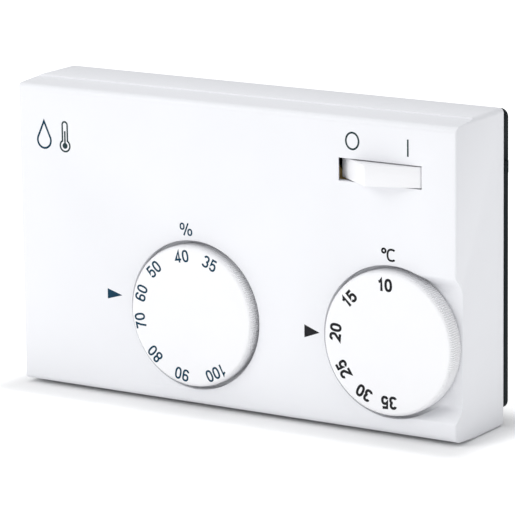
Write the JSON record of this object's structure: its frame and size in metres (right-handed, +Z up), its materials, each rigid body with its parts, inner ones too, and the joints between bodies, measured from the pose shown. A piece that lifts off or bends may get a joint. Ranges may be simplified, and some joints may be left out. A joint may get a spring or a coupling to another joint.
{
  "type": "wall thermostat",
  "caption": "Wide flat wall-mounted room controller with a humidity dial, a temperature dial, an on/off rocker and the sensing and switching works inside.",
  "frame": {"origin": "middle of the wall face, at half the cover's height and width", "axes": "+X to the right seen from the front, +Y into the wall, +Z up; the front face is at Y = -26 mm"},
  "size_m": [0.1254, 0.0302, 0.078],
  "materials": {
    "white_cover": "fine satin",
    "white_dial": "satin",
    "dark_base": "satin",
    "ivory_nylon": "satin",
    "tan_lever": "satin",
    "grey_block": "satin",
    "black_switch": "gloss",
    "red_plastic": "gloss",
    "blue_plastic": "gloss",
    "steel": "plated",
    "brass": "bright",
    "silver_contact": "bright",
    "bimetal": "rolled",
    "ferrite": "matt",
    "textile_band": "woven",
    "resistor_brown": "lacquer"
  },
  "bodies": {
    "housing": {"base_plate": "dark_base", "front_cover": "white_cover", "cover_screw": "steel", "terminal_block": "grey_block", "terminal_screws": "steel", "terminal_clamps": "brass", "strip_load": "brass", "strip_supply": "brass", "strip_heat": "brass", "humidity_min_ring": "blue_plastic", "humidity_max_ring": "red_plastic", "humidity_lever_pin": "steel", "humidity_band": "textile_band", "band_anchor": "steel", "band_trim_screw": "brass", "sensor_lever_pin": "steel", "microswitch_body": "black_switch", "microswitch_terminals": "brass", "temperature_min_ring": "blue_plastic", "temperature_max_ring": "red_plastic", "bimetal_carrier_pin": "steel", "contact_bracket": "brass", "fixed_contact": "silver_contact", "contact_magnet": "ferrite", "feedback_resistor": "resistor_brown", "switch_body": "grey_block", "switch_studs": "silver_contact", "rocker_pin": "steel"},
    "humidity_knob": {"humidity_dial": "white_dial", "humidity_spindle": "ivory_nylon", "humidity_cam": "ivory_nylon"},
    "temperature_knob": {"temperature_dial": "white_dial", "temperature_spindle": "ivory_nylon", "temperature_cam": "ivory_nylon"},
    "humidity_setpoint": {"humidity_lever": "tan_lever", "spring_eye_right": "steel"},
    "humidity_sensor": {"sensor_lever": "tan_lever", "band_lower_clip": "steel", "tension_spring": "steel", "spring_eye_left": "steel"},
    "switch_plunger": {"microswitch_plunger": "red_plastic"},
    "temperature_setpoint": {"bimetal_carrier": "tan_lever", "bimetal_clamp": "brass", "bimetal_strip": "bimetal", "moving_contact": "silver_contact"},
    "rocker": {"rocker_button": "white_dial", "rocker_plunger": "ivory_nylon", "rocker_spring": "steel"},
    "rocking_contact": {"switch_contact": "brass"}
  },
  "joints": [
    {"name": "humidity_dial_turn", "type": "hinge", "parent": "housing", "child": "humidity_knob", "pos_m": [-0.0108, -0.015, -0.0154], "axis": [0, -1, 0], "range_deg": [-123, 105]},
    {"name": "temperature_dial_turn", "type": "hinge", "parent": "housing", "child": "temperature_knob", "pos_m": [0.045, -0.015, -0.0154], "axis": [0, -1, 0], "range_deg": [-88, 86]},
    {"name": "humidity_lever_swing", "type": "hinge", "parent": "housing", "child": "humidity_setpoint", "pos_m": [-0.0201, -0.0109, 0.0026], "axis": [0, -1, 0], "range_deg": [-5.14, 4.39], "deforming": ["tension_spring"]},
    {"name": "sensor_lever_swing", "type": "hinge", "parent": "housing", "child": "humidity_sensor", "pos_m": [-0.042, -0.0109, -0.02], "axis": [0, -1, 0], "range_deg": [-1.6, 1.6], "deforming": ["humidity_band"]},
    {"name": "microswitch_plunger_slide", "type": "slide", "parent": "housing", "child": "switch_plunger", "axis": [0, 0, 1], "range_m": [-0.00032, 0.00032]},
    {"name": "bimetal_carrier_swing", "type": "hinge", "parent": "housing", "child": "temperature_setpoint", "pos_m": [0.029, -0.0109, -0.0042], "axis": [0, -1, 0], "range_deg": [-4.32, 4.42]},
    {"name": "rocker_press", "type": "hinge", "parent": "housing", "child": "rocker", "pos_m": [0.0421, -0.019, 0.0252], "axis": [0, 0, 1], "range_deg": [0, 16]},
    {"name": "rocking_contact_swing", "type": "hinge", "parent": "housing", "child": "rocking_contact", "pos_m": [0.0421, -0.0102, 0.0252], "axis": [0, 0, 1], "range_deg": [-7.62, 0]}
  ],
  "couplings": [
    {"joint": "humidity_lever_swing", "follows": "humidity_dial_turn", "ratio": 0.04167},
    {"joint": "bimetal_carrier_swing", "follows": "temperature_dial_turn", "ratio": -0.05},
    {"joint": "microswitch_plunger_slide", "follows": "sensor_lever_swing", "m_per_rad": 0.011},
    {"joint": "rocking_contact_swing", "follows": "rocker_press", "ratio": -0.475}
  ]
}
